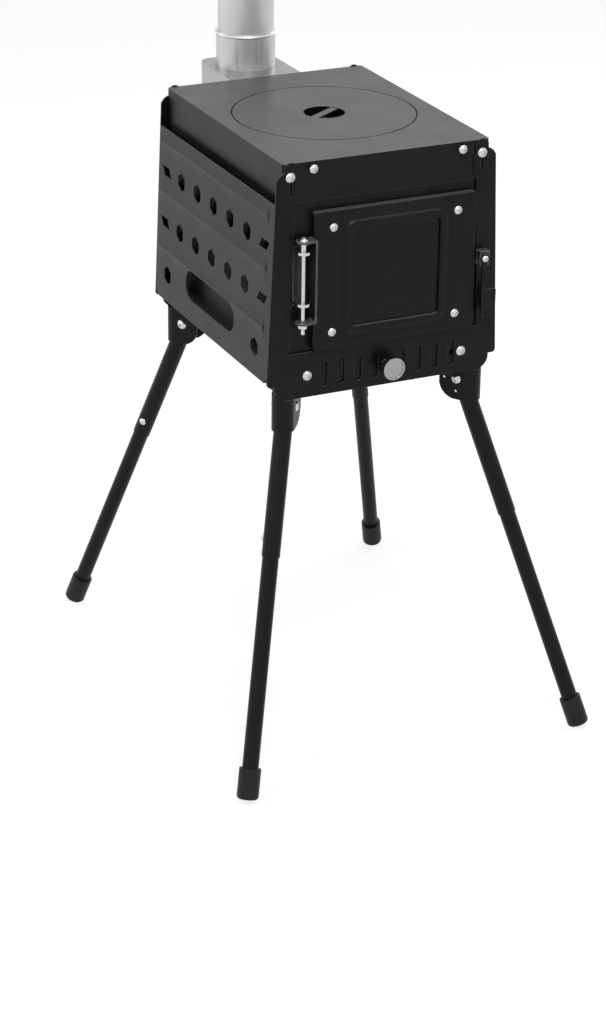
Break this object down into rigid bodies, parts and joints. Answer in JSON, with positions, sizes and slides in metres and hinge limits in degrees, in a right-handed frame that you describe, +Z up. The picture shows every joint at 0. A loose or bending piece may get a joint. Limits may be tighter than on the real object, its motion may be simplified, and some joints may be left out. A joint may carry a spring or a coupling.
{
  "type": "portable camping stove",
  "caption": "Portable sheet-steel wood stove on folding, detachable legs, with a glazed door, air slider, lift-off cooking lid and rear flue box with a chimney section.",
  "frame": {"origin": "middle of the firebox in X and Y, on the ground that the feet stand on", "axes": "+Z up, +Y from the door towards the chimney, +X to the right seen from the door"},
  "size_m": [0.4338, 0.5496, 0.8869],
  "materials": {
    "black_coat": "satin black heat-proof powder coat",
    "firebox_steel": "dark heat-proof coated sheet",
    "cast_grate": "rough cast",
    "stainless_screw": "bright turned stainless steel",
    "stainless_sheet": "smooth bright stainless sheet",
    "window_glass": "clear heat-proof glass, dark against the firebox",
    "rope_seal": "woven fibre",
    "black_rubber": "matt moulded rubber"
  },
  "bodies": {
    "stove": {"top_tray": "black_coat", "lid_seat_ring": "black_coat", "firebox_shell": "firebox_steel", "front_plate": "black_coat", "grate_rails": "firebox_steel", "spark_baffle": "firebox_steel", "front_frame": "black_coat", "rear_frame": "black_coat", "side_shield_left": "black_coat", "side_shield_right": "black_coat", "hinge_bracket_stove": "black_coat", "hinge_knuckles": "stainless_screw", "hinge_pin": "stainless_screw", "hinge_nut": "stainless_screw", "latch_bracket": "black_coat", "latch_screw": "stainless_screw", "frame_spacers": "stainless_screw", "tray_bolts": "stainless_screw", "ear_screws": "stainless_screw", "band_screws": "stainless_screw", "flue_box": "stainless_sheet", "flue_gasket": "rope_seal", "flue_collar": "stainless_sheet", "flue_screws": "stainless_screw", "leg_brackets": "black_coat", "bracket_screws": "stainless_screw", "pivot_bolts": "stainless_screw"},
    "lid": {"burner_lid": "black_coat", "lid_grip_bar": "black_coat"},
    "door": {"door_panel": "black_coat", "door_glass": "window_glass", "glass_retainer": "firebox_steel", "door_gasket": "rope_seal", "door_screws": "stainless_screw", "door_nuts": "stainless_screw", "hinge_bracket_door": "black_coat"},
    "latch": {"latch_lever": "black_coat"},
    "air_control": {"air_slider": "firebox_steel", "air_knob": "stainless_screw", "knob_screw": "stainless_screw"},
    "fire_grate": {"grate": "cast_grate"},
    "chimney": {"chimney_pipe": "stainless_sheet"},
    "upper_fl": {"upper_leg_fl": "black_coat", "leg_screw_fl": "stainless_screw"},
    "lower_fl": {"lower_leg_fl": "black_coat", "foot_fl": "black_rubber"},
    "upper_fr": {"upper_leg_fr": "black_coat", "leg_screw_fr": "stainless_screw"},
    "lower_fr": {"lower_leg_fr": "black_coat", "foot_fr": "black_rubber"},
    "upper_rl": {"upper_leg_rl": "black_coat", "leg_screw_rl": "stainless_screw"},
    "lower_rl": {"lower_leg_rl": "black_coat", "foot_rl": "black_rubber"},
    "upper_rr": {"upper_leg_rr": "black_coat", "leg_screw_rr": "stainless_screw"},
    "lower_rr": {"lower_leg_rr": "black_coat", "foot_rr": "black_rubber"}
  },
  "joints": [
    {"name": "door_swing", "type": "hinge", "parent": "stove", "child": "door", "pos_m": [-0.1, -0.164, 0.54053], "axis": [0, 0, -1], "range_deg": [0, 130]},
    {"name": "latch_turn", "type": "hinge", "parent": "stove", "child": "latch", "pos_m": [0.113, -0.166, 0.54153], "axis": [0, 1, 0], "range_deg": [0, 75]},
    {"name": "air_slide", "type": "slide", "parent": "stove", "child": "air_control", "axis": [1, 0, 0], "range_m": [0, 0.0086]},
    {"name": "lid_lift", "type": "slide", "parent": "stove", "child": "lid", "axis": [0, 0, 1], "range_m": [0, 0.06]},
    {"name": "grate_lift", "type": "slide", "parent": "stove", "child": "fire_grate", "axis": [0, 0, 1], "range_m": [0, 0.03]},
    {"name": "chimney_lift", "type": "slide", "parent": "stove", "child": "chimney", "axis": [0, 0, 1], "range_m": [0, 0.05]},
    {"name": "leg_fold_fl", "type": "hinge", "parent": "stove", "child": "upper_fl", "pos_m": [-0.106, -0.136, 0.39693], "axis": [0.7887, -0.6147, 0], "range_deg": [0, 88]},
    {"name": "leg_pull_fl", "type": "slide", "parent": "upper_fl", "child": "lower_fl", "axis": [-0.2343, -0.3006, -0.9245], "range_m": [0, 0.12]},
    {"name": "leg_fold_fr", "type": "hinge", "parent": "stove", "child": "upper_fr", "pos_m": [0.106, -0.136, 0.39693], "axis": [0.7887, 0.6147, 0], "range_deg": [0, 88]},
    {"name": "leg_pull_fr", "type": "slide", "parent": "upper_fr", "child": "lower_fr", "axis": [0.2343, -0.3006, -0.9245], "range_m": [0, 0.12]},
    {"name": "leg_fold_rl", "type": "hinge", "parent": "stove", "child": "upper_rl", "pos_m": [-0.106, 0.136, 0.39693], "axis": [-0.7887, -0.6147, 0], "range_deg": [0, 88]},
    {"name": "leg_pull_rl", "type": "slide", "parent": "upper_rl", "child": "lower_rl", "axis": [-0.2343, 0.3006, -0.9245], "range_m": [0, 0.12]},
    {"name": "leg_fold_rr", "type": "hinge", "parent": "stove", "child": "upper_rr", "pos_m": [0.106, 0.136, 0.39693], "axis": [-0.7887, 0.6147, 0], "range_deg": [0, 88]},
    {"name": "leg_pull_rr", "type": "slide", "parent": "upper_rr", "child": "lower_rr", "axis": [0.2343, 0.3006, -0.9245], "range_m": [0, 0.12]}
  ]
}
